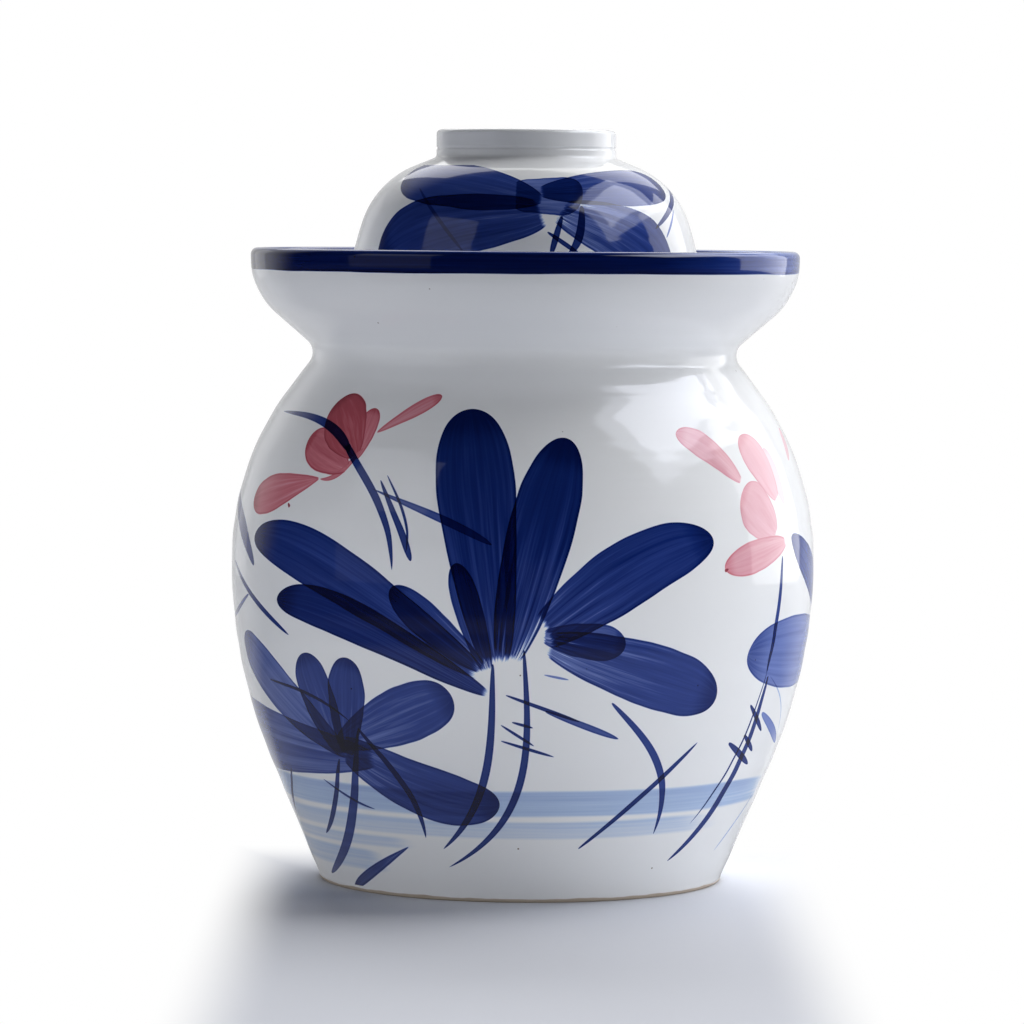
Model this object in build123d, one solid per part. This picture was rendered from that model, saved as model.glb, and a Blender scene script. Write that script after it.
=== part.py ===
from build123d import *
from math import asin, atan, cos, radians, sin, tan
import os

# Water seal pickle jar: a glazed ceramic pot whose flared collar holds a ring of water,
# a small inner lid on the mouth ring, and a bowl-shaped outer lid that stands in the water.
# Millimetres. The origin is the centre of the foot on the surface that the jar stands on,
# +Z is up, and every piece is turned about Z.

# Pot, outside
belly_radius = 113.0
belly_height = 124.0
foot_inset = 35.4
foot_edge_round = 1.2
neck_inset = 30.7
neck_rise = 79.6
neck_fillet = 6.2
collar_overhang = 24.1
collar_height = 40.4
rim_band_depth = 3.4
rim_round = 2.6

# How much steeper the wall leans at its straight stretch than a line drawn from
# the wide place straight to the narrow one
lower_lean_share = 1.48
shoulder_lean_share = 1.97
collar_lean_share = 1.75

# Pot, walls and inside
body_wall = 6.5
collar_wall = 5.8
floor_thickness = 8.0
floor_fillet = 22.0
ceiling_fillet = 10.0
foot_ring_width = 8.0
foot_recess_depth = 3.5
foot_recess_fillet = 1.5
foot_recess_round = 0.8

# Water trough and mouth ring
trough_floor_rise = 7.4
trough_floor_thickness = 7.5
trough_fillet = 4.0
trough_outer_gap = 8.7
trough_inner_gap = 9.0
mouth_ring_wall = 6.5
mouth_ring_rise = 2.0
mouth_land_width = 2.9
mouth_edge_fillet = 5.0

# Outer lid
lid_wall = 5.5
lid_lip_round = 1.0
lid_skirt_radius = 140.0
lid_skirt_height = 43.5
lid_crown_radius = 35.0
lid_crown_lean_degrees = 68.0
knob_step = 8.25
knob_ring_height = 10.7
knob_ring_width = 4.6
knob_recess_depth = 8.0
knob_recess_fillet = 2.0
knob_round = 1.8
knob_foot_fillet = 1.6
knob_line_drop = 7.2
knob_line_radius = 0.9
knob_line_depth = 0.35

# Inner lid
inner_lid_overlap = 4.6
inner_lid_thickness = 5.0
inner_lid_round = 1.8
spigot_clearance = 1.6
spigot_depth = 5.0
spigot_wall = 6.0
spigot_round = 1.2
button_neck_radius = 7.5
button_neck_height = 5.0
button_neck_fillet = 2.0
button_radius = 11.0
button_head_height = 10.0
button_round = 3.2

overrun = 5.0


def on_circle(centre, radius, angle):
    return (centre[0] + radius * cos(angle), centre[1] + radius * sin(angle))


def arc(centre, radius, start, end):
    middle = (start + end) / 2
    return ThreePointArc(
        on_circle(centre, radius, start),
        on_circle(centre, radius, middle),
        on_circle(centre, radius, end),
    )


def lean_angle(wide, narrow, rise, share):
    return atan(share * (wide - narrow) / rise)


def wall_radius(wide, narrow, rise, fillet_radius, angle):
    """Radius of the arc that is upright at the wide place and runs by a straight
    stretch at this angle into the fillet at the narrow place."""
    reach = wide - narrow - fillet_radius
    return (rise * sin(angle) - reach * cos(angle) - fillet_radius) / (1 - cos(angle))


def rounded(profile, places, radius):
    """The profile with its corners nearest to these places rounded."""
    corners = [profile.vertices().sort_by_distance(place)[0] for place in places]
    return fillet(corners, radius)


def rectangle(inner, bottom, outer, top):
    """A rectangle of the half section, from one radius to another."""
    place = Pos((inner + outer) / 2, (bottom + top) / 2)
    return place * Rectangle(outer - inner, top - bottom)


def turned(profile):
    """The solid that a half section sweeps once round the upright axis."""
    return revolve(Plane.XZ * profile, Axis.Z)


# Places that several pieces share
foot_radius = belly_radius - foot_inset
neck_radius = belly_radius - neck_inset
neck_height = belly_height + neck_rise
rim_radius = neck_radius + collar_overhang
rim_height = neck_height + collar_height

lower_angle = lean_angle(belly_radius, foot_radius, belly_height, lower_lean_share)
lower_radius = wall_radius(belly_radius, foot_radius, belly_height, 0, lower_angle)
lower_centre = (belly_radius - lower_radius, belly_height)

shoulder_angle = lean_angle(belly_radius, neck_radius, neck_rise, shoulder_lean_share)
shoulder_radius = wall_radius(belly_radius, neck_radius, neck_rise, neck_fillet, shoulder_angle)
shoulder_centre = (belly_radius - shoulder_radius, belly_height)

neck_centre = (neck_radius + neck_fillet, neck_height)

rim_band_height = rim_height - rim_band_depth
collar_rise = rim_band_height - neck_height
collar_angle = lean_angle(rim_radius, neck_radius, collar_rise, collar_lean_share)
collar_radius = wall_radius(rim_radius, neck_radius, collar_rise, neck_fillet, collar_angle)
collar_centre = (rim_radius - collar_radius, rim_band_height)

trough_floor = neck_height + trough_floor_rise
ceiling_height = trough_floor - trough_floor_thickness
mouth_top = rim_height + mouth_ring_rise

collar_inside = on_circle(collar_centre, collar_radius - collar_wall, -collar_angle)
trough_outer_radius = collar_inside[0] - (collar_inside[1] - trough_floor) * tan(collar_angle)
lid_lip_radius = trough_outer_radius - trough_outer_gap
mouth_ring_radius = lid_lip_radius - lid_wall - trough_inner_gap
mouth_radius = mouth_ring_radius - mouth_ring_wall

skirt_angle = asin(lid_skirt_height / lid_skirt_radius)
skirt_centre = (lid_lip_radius - lid_skirt_radius, trough_floor)
crown_angle = radians(lid_crown_lean_degrees)
crown_centre = on_circle(skirt_centre, lid_skirt_radius - lid_crown_radius, skirt_angle)
crown_end = on_circle(crown_centre, lid_crown_radius, crown_angle)
knob_radius = crown_end[0] - knob_step
knob_foot = crown_end[1] + knob_step / tan(crown_angle)


def pot_outline():
    """Half section of the pot as if solid, from the axis out to the skin."""
    with BuildLine() as line:
        l1 = Line((0, 0), (foot_radius, 0))
        a1 = arc(lower_centre, lower_radius, -lower_angle, 0)
        l2 = Line(l1 @ 1, a1 @ 0)
        a2 = arc(shoulder_centre, shoulder_radius, 0, shoulder_angle)
        a3 = ThreePointArc(
            on_circle(neck_centre, -neck_fillet, shoulder_angle),
            (neck_radius, neck_height),
            on_circle(neck_centre, -neck_fillet, -collar_angle),
        )
        l3 = Line(a2 @ 1, a3 @ 0)
        a4 = arc(collar_centre, collar_radius, -collar_angle, 0)
        l4 = Line(a3 @ 1, a4 @ 0)
        Polyline(
            a4 @ 1,
            (rim_radius, rim_height),
            (mouth_ring_radius, rim_height),
            (mouth_ring_radius, mouth_top),
            (0, mouth_top),
            l1 @ 0,
        )
    return make_face(line.line)


def trough_outline():
    """Half section of the ring of water, open at the top."""
    top = rim_height + overrun
    inside = rim_radius - collar_wall
    with BuildLine() as line:
        a1 = arc(collar_centre, collar_radius - collar_wall, -collar_angle, 0)
        Polyline(
            a1 @ 1,
            (inside, top),
            (mouth_ring_radius, top),
            (mouth_ring_radius, trough_floor),
            (trough_outer_radius, trough_floor),
            a1 @ 0,
        )
    floor_corners = [(mouth_ring_radius, trough_floor), (trough_outer_radius, trough_floor)]
    return rounded(make_face(line.line), floor_corners, trough_fillet)


def cavity_outline():
    """Half section of the room inside the pot and of its mouth."""
    floor = foot_recess_depth + floor_thickness
    lower_inside = on_circle(lower_centre, lower_radius - body_wall, -lower_angle)
    upper_inside = on_circle(shoulder_centre, shoulder_radius - body_wall, shoulder_angle)
    floor_radius = lower_inside[0] - (lower_inside[1] - floor) * tan(lower_angle)
    ceiling_radius = upper_inside[0] - (ceiling_height - upper_inside[1]) * tan(shoulder_angle)
    with BuildLine() as line:
        a1 = arc(lower_centre, lower_radius - body_wall, -lower_angle, 0)
        a2 = arc(shoulder_centre, shoulder_radius - body_wall, 0, shoulder_angle)
        Polyline(
            a2 @ 1,
            (ceiling_radius, ceiling_height),
            (mouth_radius, ceiling_height),
            (mouth_radius, mouth_top + overrun),
            (0, mouth_top + overrun),
            (0, floor),
            (floor_radius, floor),
            a1 @ 0,
        )
    room = make_face(line.line)
    room = rounded(room, [(floor_radius, floor)], floor_fillet)
    room = rounded(room, [(ceiling_radius, ceiling_height)], ceiling_fillet)
    return rounded(room, [(mouth_radius, ceiling_height)], mouth_edge_fillet)


def make_jar():
    foot_ring_inside = foot_radius - foot_ring_width
    recess = rectangle(0, -overrun, foot_ring_inside, foot_recess_depth)
    recess = rounded(recess, [(foot_ring_inside, foot_recess_depth)], foot_recess_fillet)
    profile = pot_outline() - trough_outline() - cavity_outline() - recess

    rim_corners = [(rim_radius, rim_height), (rim_radius - collar_wall, rim_height)]
    mouth_corners = [(mouth_ring_radius, mouth_top), (mouth_radius, mouth_top)]
    profile = rounded(profile, [(foot_radius, 0)], foot_edge_round)
    profile = rounded(profile, [(foot_ring_inside, 0)], foot_recess_round)
    profile = rounded(profile, rim_corners, rim_round)
    profile = rounded(profile, mouth_corners, (mouth_ring_wall - mouth_land_width) / 2)
    return turned(profile)


def lid_outline(inset, top):
    """Half section under the dome of the outer lid, drawn in by an inset, up to a flat top."""
    end = on_circle(crown_centre, lid_crown_radius - inset, crown_angle)
    top_radius = end[0] - (top - end[1]) * tan(crown_angle)
    with BuildLine() as line:
        a1 = arc(skirt_centre, lid_skirt_radius - inset, 0, skirt_angle)
        a2 = arc(crown_centre, lid_crown_radius - inset, skirt_angle, crown_angle)
        Polyline(a2 @ 1, (top_radius, top), (0, top), (0, trough_floor), a1 @ 0)
    return make_face(line.line)


def make_outer_lid():
    knob_top = knob_foot + knob_ring_height
    recess_floor = knob_top - knob_recess_depth
    ring_inside = knob_radius - knob_ring_width

    ceiling = recess_floor - lid_wall
    dome = lid_outline(0, knob_foot)
    hollow = lid_outline(lid_wall, ceiling)
    recess = rectangle(0, recess_floor, ring_inside, knob_top + overrun)
    recess = rounded(recess, [(ring_inside, recess_floor)], knob_recess_fillet)
    line_radius = knob_radius + knob_line_radius - knob_line_depth
    turned_line = Pos(line_radius, knob_top - knob_line_drop) * Circle(knob_line_radius)

    knob = rectangle(0, knob_foot, knob_radius, knob_top)
    profile = dome + knob - recess - hollow
    profile = rounded(profile, [(knob_radius, knob_foot)], knob_foot_fillet)
    profile = rounded(profile, [(knob_radius, knob_top), (ring_inside, knob_top)], knob_round)
    lip_corners = [(lid_lip_radius, trough_floor), (lid_lip_radius - lid_wall, trough_floor)]
    profile = rounded(profile, lip_corners, lid_lip_round)
    return turned(profile - turned_line)


def make_inner_lid():
    disc_radius = mouth_radius + inner_lid_overlap
    disc_top = mouth_top + inner_lid_thickness
    spigot_radius = mouth_radius - spigot_clearance
    neck_top = disc_top + button_neck_height

    disc = rectangle(0, mouth_top, disc_radius, disc_top)
    spigot_bottom = mouth_top - spigot_depth
    spigot = rectangle(spigot_radius - spigot_wall, spigot_bottom, spigot_radius, mouth_top)
    neck = rectangle(0, disc_top, button_neck_radius, neck_top)
    head = rectangle(0, neck_top, button_radius, neck_top + button_head_height)
    profile = disc + spigot + neck + head

    profile = rounded(profile, [(button_neck_radius, disc_top)], button_neck_fillet)
    head_corners = [(button_radius, neck_top), (button_radius, neck_top + button_head_height)]
    profile = rounded(profile, head_corners, button_round)
    profile = rounded(profile, [(disc_radius, disc_top)], inner_lid_round)
    spigot_corners = [
        (spigot_radius, spigot_bottom),
        (spigot_radius - spigot_wall, spigot_bottom),
    ]
    profile = rounded(profile, spigot_corners, spigot_round)
    return turned(profile)


pieces = {
    "jar": make_jar(),
    "inner_lid": make_inner_lid(),
    "outer_lid": make_outer_lid(),
}

os.makedirs("parts", exist_ok=True)
for name, solid in pieces.items():
    export_step(solid, f"parts/{name}.step")
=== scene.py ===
from bisect import bisect_left
from collections import namedtuple
from functools import partial, reduce
from math import acos, asin, atan, atan2, ceil, cos, hypot, pi, radians, sin, tan

import bpy
from mathutils import Matrix, Vector


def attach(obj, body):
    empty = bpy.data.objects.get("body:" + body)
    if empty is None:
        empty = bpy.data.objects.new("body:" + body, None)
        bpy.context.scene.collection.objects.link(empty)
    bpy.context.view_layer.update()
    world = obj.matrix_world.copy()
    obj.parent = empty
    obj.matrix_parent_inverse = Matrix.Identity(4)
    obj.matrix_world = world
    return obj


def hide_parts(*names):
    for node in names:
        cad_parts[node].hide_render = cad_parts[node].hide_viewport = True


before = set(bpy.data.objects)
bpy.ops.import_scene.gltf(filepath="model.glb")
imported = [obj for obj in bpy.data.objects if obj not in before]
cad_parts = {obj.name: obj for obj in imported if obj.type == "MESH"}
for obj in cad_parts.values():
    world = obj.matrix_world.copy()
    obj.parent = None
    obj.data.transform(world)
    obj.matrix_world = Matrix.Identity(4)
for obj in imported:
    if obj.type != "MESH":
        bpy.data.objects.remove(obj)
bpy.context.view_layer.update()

mm = 0.001
axis = Vector((0, 0, 1))

# Pot, outside: the sizes of the fired piece, as the frame has them
belly_radius = 113.0 * mm
belly_height = 124.0 * mm
foot_inset = 35.4 * mm
foot_edge_round = 1.2 * mm
neck_inset = 30.7 * mm
neck_rise = 79.6 * mm
neck_fillet = 6.2 * mm
collar_overhang = 24.1 * mm
collar_height = 40.4 * mm
rim_band_depth = 3.4 * mm
rim_round = 2.6 * mm
lower_lean_share = 1.48
shoulder_lean_share = 1.97
collar_lean_share = 1.75

# Pot, walls, trough and mouth
body_wall = 6.5 * mm
collar_wall = 5.8 * mm
floor_thickness = 8.0 * mm
floor_fillet = 22.0 * mm
ceiling_fillet = 10.0 * mm
foot_ring_width = 8.0 * mm
foot_recess_depth = 3.5 * mm
foot_recess_fillet = 1.5 * mm
foot_recess_round = 0.8 * mm
trough_floor_rise = 7.4 * mm
trough_floor_thickness = 7.5 * mm
trough_fillet = 4.0 * mm
trough_outer_gap = 8.7 * mm
trough_inner_gap = 9.0 * mm
mouth_ring_wall = 6.5 * mm
mouth_ring_rise = 2.0 * mm
mouth_land_width = 2.9 * mm
mouth_edge_fillet = 5.0 * mm

# Outer lid
lid_wall = 5.5 * mm
lid_lip_round = 1.0 * mm
lid_skirt_radius = 140.0 * mm
lid_skirt_height = 43.5 * mm
lid_crown_radius = 35.0 * mm
lid_crown_lean = radians(68.0)
knob_step = 8.25 * mm
knob_ring_height = 10.7 * mm
knob_ring_width = 4.6 * mm
knob_recess_depth = 8.0 * mm
knob_recess_fillet = 2.0 * mm
knob_round = 1.8 * mm
knob_foot_fillet = 1.6 * mm
knob_line_drop = 7.2 * mm
knob_line_radius = 0.9 * mm
knob_line_depth = 0.35 * mm

# Inner lid
inner_lid_overlap = 4.6 * mm
inner_lid_thickness = 5.0 * mm
inner_lid_round = 1.8 * mm
spigot_clearance = 1.6 * mm
spigot_depth = 5.0 * mm
spigot_wall = 6.0 * mm
spigot_round = 1.2 * mm
button_neck_radius = 7.5 * mm
button_neck_height = 5.0 * mm
button_neck_fillet = 2.0 * mm
button_radius = 11.0 * mm
button_head_height = 10.0 * mm
button_round = 3.2 * mm

# How finely the pieces are turned
skin_step = 1.3 * mm
inside_step = 4.0 * mm
turn_steps = 192
skin_inset = 0.12 * mm


def lean_angle(wide, narrow, rise, share):
    return atan(share * (wide - narrow) / rise)


def wall_radius(wide, narrow, rise, fillet, angle):
    """Radius of the arc that stands upright at the wide place and runs by a straight
    stretch at this angle into the fillet at the narrow place."""
    reach = wide - narrow - fillet
    return (rise * sin(angle) - reach * cos(angle) - fillet) / (1 - cos(angle))


def on_circle(centre, radius, angle):
    return (centre[0] + radius * cos(angle), centre[1] + radius * sin(angle))


foot_radius = belly_radius - foot_inset
neck_radius = belly_radius - neck_inset
neck_height = belly_height + neck_rise
rim_radius = neck_radius + collar_overhang
rim_height = neck_height + collar_height
foot_inside = foot_radius - foot_ring_width
rim_inside = rim_radius - collar_wall
rim_corner, rim_inner_corner = (rim_radius, rim_height), (rim_inside, rim_height)

lower_angle = lean_angle(belly_radius, foot_radius, belly_height, lower_lean_share)
lower_radius = wall_radius(belly_radius, foot_radius, belly_height, 0, lower_angle)
lower_centre = (belly_radius - lower_radius, belly_height)
shoulder_angle = lean_angle(belly_radius, neck_radius, neck_rise, shoulder_lean_share)
shoulder_radius = wall_radius(belly_radius, neck_radius, neck_rise, neck_fillet, shoulder_angle)
shoulder_centre = (belly_radius - shoulder_radius, belly_height)
neck_centre = (neck_radius + neck_fillet, neck_height)
rim_band_height = rim_height - rim_band_depth
collar_rise = rim_band_height - neck_height
collar_angle = lean_angle(rim_radius, neck_radius, collar_rise, collar_lean_share)
collar_radius = wall_radius(rim_radius, neck_radius, collar_rise, neck_fillet, collar_angle)
collar_centre = (rim_radius - collar_radius, rim_band_height)

trough_floor = neck_height + trough_floor_rise
ceiling_height = trough_floor - trough_floor_thickness
mouth_top = rim_height + mouth_ring_rise
collar_inside = on_circle(collar_centre, collar_radius - collar_wall, -collar_angle)
trough_outer_radius = collar_inside[0] - (collar_inside[1] - trough_floor) * tan(collar_angle)
lid_lip_radius = trough_outer_radius - trough_outer_gap
mouth_ring_radius = lid_lip_radius - lid_wall - trough_inner_gap
mouth_radius = mouth_ring_radius - mouth_ring_wall

skirt_angle = asin(lid_skirt_height / lid_skirt_radius)
skirt_centre = (lid_lip_radius - lid_skirt_radius, trough_floor)
crown_centre = on_circle(skirt_centre, lid_skirt_radius - lid_crown_radius, skirt_angle)
crown_end = on_circle(crown_centre, lid_crown_radius, lid_crown_lean)
knob_radius = crown_end[0] - knob_step
knob_foot = crown_end[1] + knob_step / tan(lid_crown_lean)
knob_top = knob_foot + knob_ring_height
total_height = knob_top


# Outlines of the half sections


def arc(centre, radius, start, end, step=skin_step):
    """Points along an arc, both ends included."""
    count = max(2, ceil(abs(radius * (end - start)) / step))
    return [on_circle(centre, radius, start + (end - start) * k / count) for k in range(count + 1)]


def straight(start, end, step=skin_step):
    """Points along a straight stretch, without its ends."""
    count = max(1, ceil(hypot(end[0] - start[0], end[1] - start[1]) / step))
    shares = [k / count for k in range(1, count)]
    return [(start[0] + (end[0] - start[0]) * s, start[1] + (end[1] - start[1]) * s) for s in shares]


def turned_corner(before, corner, after, radius, steps=6):
    """Points of the arc that rounds a corner between two straight stretches."""
    back, on = Vector(before) - Vector(corner), Vector(after) - Vector(corner)
    half = back.angle(on) / 2
    centre = Vector(corner) + (back.normalized() + on.normalized()).normalized() * radius / sin(half)
    first = Vector(corner) + back.normalized() * radius / tan(half)
    last = Vector(corner) + on.normalized() * radius / tan(half)
    start = atan2(first.y - centre.y, first.x - centre.x)
    turn = Vector(first - centre).angle_signed(Vector(last - centre))
    return [on_circle(centre, radius, start - turn * k / steps) for k in range(steps + 1)]


def rounded(corners, radii, steps=6):
    """The inner corners of a run of straight stretches, each rounded by its own radius."""
    spans = zip(corners, corners[1:], corners[2:], radii)
    return [turned_corner(before, corner, after, radius, steps) for before, corner, after, radius in spans]


def joined(*stretches):
    """One outline from stretches of points, with straight runs filled in between them."""
    outline = list(stretches[0])
    for stretch in stretches[1:]:
        gap = hypot(stretch[0][0] - outline[-1][0], stretch[0][1] - outline[-1][1])
        if gap > inside_step:
            outline += straight(outline[-1], stretch[0], inside_step)
        outline += stretch
    return outline


def thrown(outline):
    """The outline drawn in by the shallow rings that fingers leave."""
    ring_height, deepest, drift = 17.0 * mm, 0.16 * mm, 2.3
    drawn = []
    for radius, height in outline:
        turns = height / ring_height
        depth = skin_inset + deepest * (1 + sin(turns * 2 * pi + sin(turns * drift))) / 2
        drawn.append((radius - depth, height))
    return drawn


def pot_skin():
    """The outside of the pot, from its foot edge up to the top of its rim."""
    lower_end = on_circle(lower_centre, lower_radius, -lower_angle)
    shoulder_end = on_circle(shoulder_centre, shoulder_radius, shoulder_angle)
    fillet_start = on_circle(neck_centre, -neck_fillet, shoulder_angle)
    fillet_end = on_circle(neck_centre, -neck_fillet, -collar_angle)
    collar_start = on_circle(collar_centre, collar_radius, -collar_angle)
    collar_end = on_circle(collar_centre, collar_radius, 0)
    wall = joined(
        straight((foot_radius, 0), lower_end)[1:],
        arc(lower_centre, lower_radius, -lower_angle, 0),
        arc(shoulder_centre, shoulder_radius, 0, shoulder_angle)[1:],
        straight(shoulder_end, fillet_start),
        arc(neck_centre, -neck_fillet, shoulder_angle, -collar_angle, skin_step / 2),
        straight(fillet_end, collar_start),
        arc(collar_centre, collar_radius, -collar_angle, 0),
        turned_corner(collar_end, rim_corner, rim_inner_corner, rim_round, 8),
    )
    return turned_corner((foot_inside, 0), (foot_radius, 0), lower_end, foot_edge_round, 4) + thrown(wall)


def pot_outline():
    """From the middle of the foot's recess out, up the skin, over the rim, through the trough,
    over the mouth ring and down the inside to the middle of the floor."""
    mouth_round = (mouth_ring_wall - mouth_land_width) / 2
    floor = foot_recess_depth + floor_thickness
    lower_in = on_circle(lower_centre, lower_radius - body_wall, -lower_angle)
    upper_in = on_circle(shoulder_centre, shoulder_radius - body_wall, shoulder_angle)
    floor_corner = (lower_in[0] - (lower_in[1] - floor) * tan(lower_angle), floor)
    ceiling_radius = upper_in[0] - (ceiling_height - upper_in[1]) * tan(shoulder_angle)
    ceiling_corner = (ceiling_radius, ceiling_height)

    recess_middle, recess_top = (0, foot_recess_depth), (foot_inside, foot_recess_depth)
    recess_bottom, foot_corner = (foot_inside, 0), (foot_radius, 0)
    trough_corner, trough_inner = (trough_outer_radius, trough_floor), (mouth_ring_radius, trough_floor)
    ring_corner, bore_corner = (mouth_ring_radius, mouth_top), (mouth_radius, mouth_top)
    bore_foot = (mouth_radius, ceiling_height)
    foot_corners = [recess_middle, recess_top, recess_bottom, foot_corner]
    collar_in = arc(collar_centre, collar_radius - collar_wall, 0, -collar_angle, inside_step / 2)
    trough_corners = [collar_inside, trough_corner, trough_inner, ring_corner, bore_corner]
    mouth_corners = [bore_foot, ceiling_corner, upper_in]

    return joined(
        [recess_middle],
        *rounded(foot_corners, [foot_recess_fillet, foot_recess_round], 3),
        pot_skin(),
        turned_corner(rim_corner, rim_inner_corner, (rim_inside, rim_band_height), rim_round, 8),
        collar_in,
        *rounded(
            trough_corners + mouth_corners,
            [trough_fillet, trough_fillet, mouth_round, mouth_round, mouth_edge_fillet, ceiling_fillet],
        ),
        arc(shoulder_centre, shoulder_radius - body_wall, shoulder_angle, 0, inside_step),
        arc(lower_centre, lower_radius - body_wall, 0, -lower_angle, inside_step)[1:],
        turned_corner(lower_in, floor_corner, (0, floor), floor_fillet, 8),
        [(0, floor)],
    )


def lid_skin():
    """The outside of the outer lid's dome, from its crown down to its lip."""
    crown = arc(crown_centre, lid_crown_radius, lid_crown_lean, skirt_angle)
    return crown + arc(skirt_centre, lid_skirt_radius, skirt_angle, lid_lip_round / lid_skirt_radius)[1:]


def outer_lid_outline():
    """From the middle of the knob's recess, over the ring, down the dome and back up inside."""
    recess_floor = knob_top - knob_recess_depth
    ceiling = recess_floor - lid_wall
    ring_inside = knob_radius - knob_ring_width
    lip_inside = (lid_lip_radius - lid_wall, trough_floor)
    crown_in = on_circle(crown_centre, lid_crown_radius - lid_wall, lid_crown_lean)
    ceiling_radius = crown_in[0] - (ceiling - crown_in[1]) * tan(lid_crown_lean)
    groove_centre = (knob_radius + knob_line_radius - knob_line_depth, knob_top - knob_line_drop)
    groove_reach = acos((knob_line_radius - knob_line_depth) / knob_line_radius)
    recess_corner, ring_corner = (ring_inside, recess_floor), (ring_inside, knob_top)
    knob_corner, foot_corner = (knob_radius, knob_top), (knob_radius, knob_foot)
    lip_corner = (lid_lip_radius, trough_floor)
    above_lip = (lid_lip_radius, trough_floor + lid_wall)
    return joined(
        [(0, recess_floor)],
        *rounded(
            [(0, recess_floor), recess_corner, ring_corner, knob_corner, foot_corner],
            [knob_recess_fillet, knob_round, knob_round],
        ),
        arc(groove_centre, knob_line_radius, pi - groove_reach, pi + groove_reach, knob_line_depth),
        turned_corner(knob_corner, foot_corner, crown_end, knob_foot_fillet),
        straight(foot_corner, crown_end)[2:],
        lid_skin(),
        *rounded([above_lip, lip_corner, lip_inside, (lip_inside[0], above_lip[1])], [lid_lip_round] * 2, 4),
        arc(skirt_centre, lid_skirt_radius - lid_wall, lid_wall / lid_skirt_radius, skirt_angle, inside_step),
        arc(crown_centre, lid_crown_radius - lid_wall, skirt_angle, lid_crown_lean, inside_step)[1:],
        [(ceiling_radius, ceiling)],
        [(0, ceiling)],
    )


def inner_lid_outline():
    """From the middle of the button's top, down over the disc and round the spigot beneath."""
    disc_radius = mouth_radius + inner_lid_overlap
    disc_top = mouth_top + inner_lid_thickness
    neck_top = disc_top + button_neck_height
    button_top = neck_top + button_head_height
    spigot_radius = mouth_radius - spigot_clearance
    spigot_inside = spigot_radius - spigot_wall
    spigot_bottom = mouth_top - spigot_depth
    head_corner, head_foot = (button_radius, button_top), (button_radius, neck_top)
    neck_corner, neck_foot = (button_neck_radius, neck_top), (button_neck_radius, disc_top)
    edge_top, edge_bottom = (disc_radius, disc_top), (disc_radius, mouth_top)
    spigot_outer, spigot_inner = (spigot_radius, spigot_bottom), (spigot_inside, spigot_bottom)
    underside = (spigot_inside, mouth_top)
    return joined(
        [(0, button_top)],
        *rounded([(0, button_top), head_corner, head_foot, neck_corner], [button_round] * 2),
        [neck_corner],
        *rounded([neck_corner, neck_foot, edge_top, edge_bottom], [button_neck_fillet, inner_lid_round]),
        [edge_bottom],
        [(spigot_radius, mouth_top)],
        *rounded([(spigot_radius, mouth_top), spigot_outer, spigot_inner, underside], [spigot_round] * 2, 4),
        [underside],
        [(0, mouth_top)],
    )


def new_plane(name, size, place):
    """A flat square, selected alone, with its place in its mesh."""
    bpy.ops.object.select_all(action="DESELECT")
    bpy.ops.mesh.primitive_plane_add(size=size, location=place)
    plane = bpy.context.object
    plane.name = plane.data.name = name
    bpy.ops.object.transform_apply(location=True, rotation=True, scale=True)
    return plane


def turn_piece(name, outline):
    """A closed piece: the half section drawn by extruding one point, then spun round the axis."""
    piece = new_plane(name, skin_step, (outline[0][0], 0, outline[0][1]))
    bpy.ops.object.mode_set(mode="EDIT")
    bpy.ops.mesh.merge(type="CENTER")
    for here, there in zip(outline, outline[1:]):
        step = (there[0] - here[0], 0, there[1] - here[1])
        bpy.ops.mesh.extrude_vertices_move(TRANSFORM_OT_translate={"value": step})
    bpy.ops.mesh.select_all(action="SELECT")
    bpy.ops.mesh.spin(steps=turn_steps, angle=2 * pi, center=(0, 0, 0), axis=axis)
    bpy.ops.mesh.select_all(action="SELECT")
    bpy.ops.mesh.remove_doubles(threshold=skin_inset / 10)
    bpy.ops.mesh.normals_make_consistent(inside=False)
    bpy.ops.object.mode_set(mode="OBJECT")
    bpy.ops.object.shade_smooth_by_angle(angle=radians(40))
    return piece


# Camera: where the photograph was taken from

photo_size = 1024
pixel = 0.3875 * mm
base_pixel = (520.0, 879.0)
lean_pixels = 3.14
camera_distance = 2.0
camera_height = 0.257
roll = radians(0.49)
sensor = 36.0

aim_height = (base_pixel[1] - photo_size / 2) * pixel
aim_across = (photo_size / 2 - base_pixel[0] - lean_pixels) * pixel
tilt = pi / 2 - atan((camera_height - aim_height) / camera_distance)
camera_place = Vector((aim_across, -camera_distance, camera_height))
camera_turn = Matrix.Rotation(tilt, 3, "X") @ Matrix.Rotation(roll, 3, "Z")


def make_camera():
    camera_data = bpy.data.cameras.new("camera")
    camera_data.sensor_width = sensor
    camera_data.lens = sensor * camera_distance / (photo_size * pixel)
    camera = bpy.data.objects.new("camera", camera_data)
    camera.location = camera_place
    camera.rotation_euler = camera_turn.to_euler()
    bpy.context.collection.objects.link(camera)
    bpy.context.scene.camera = camera


# Places on the turned skins

# A skin: its outline from the foot up, how height and radius make its unrolled "up", what is
# painted on it, the step between its strokes' seeds, and how far it stands left of the photo's
Skin = namedtuple("Skin", "outline rise inward strokes seed_step shift_pixels")
Place = namedtuple("Place", "around radius height")

pot_paper = Skin(pot_skin(), 1.0, 0.0, [], 3.7, 0)
lid_paper = Skin(lid_skin()[::-1], 0.82, 0.82, [], 5.1, 4)


def radius_at(skin, height):
    """Radius of a skin at a height."""
    heights = [point[1] for point in skin.outline]
    above = min(max(bisect_left(heights, height), 1), len(heights) - 1)
    (low_radius, low), (high_radius, high) = skin.outline[above - 1 : above + 1]
    share = min(max((height - low) / (high - low), 0), 1)
    return low_radius + (high_radius - low_radius) * share


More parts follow.
